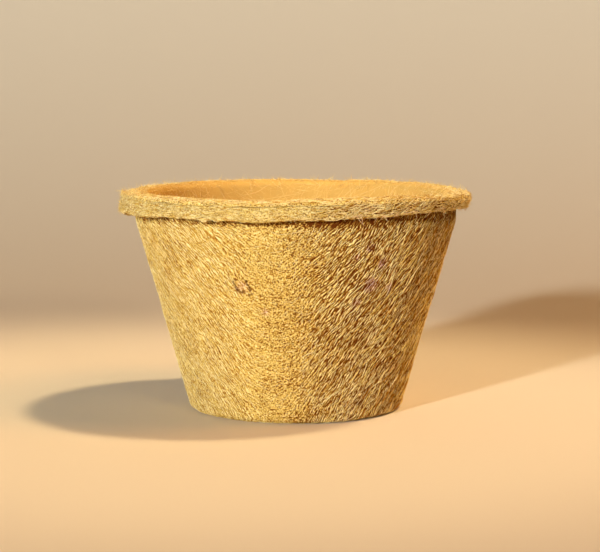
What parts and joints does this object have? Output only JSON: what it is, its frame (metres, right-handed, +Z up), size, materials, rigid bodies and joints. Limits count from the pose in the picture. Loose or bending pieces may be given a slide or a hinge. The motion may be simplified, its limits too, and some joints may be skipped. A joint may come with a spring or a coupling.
{
  "type": "coir pot",
  "caption": "Round tapered plant pot pressed from coconut fibre felt, with a rounded foot and a thick turned rim.",
  "frame": {"origin": "centre of the foot ring, on the ground plane", "axes": "+Z up through the mouth; -Y is the pictured side; +X is to the right of someone who looks at that side"},
  "size_m": [0.1505, 0.1498, 0.0949],
  "materials": {
    "coir_wall": "golden straw coconut fibre felt with darker gaps, matt",
    "coir_base": "brown straw coconut fibre felt, matt",
    "coir_lining": "smoother golden coconut fibre felt, matt",
    "coir_collar": "paler straw coconut fibre felt with ragged cut edges, matt"
  },
  "bodies": {
    "root": {"outer_wall": "coir_wall", "base_disc": "coir_base", "inner_liner": "coir_lining", "rim_collar": "coir_collar"}
  },
  "joints": []
}
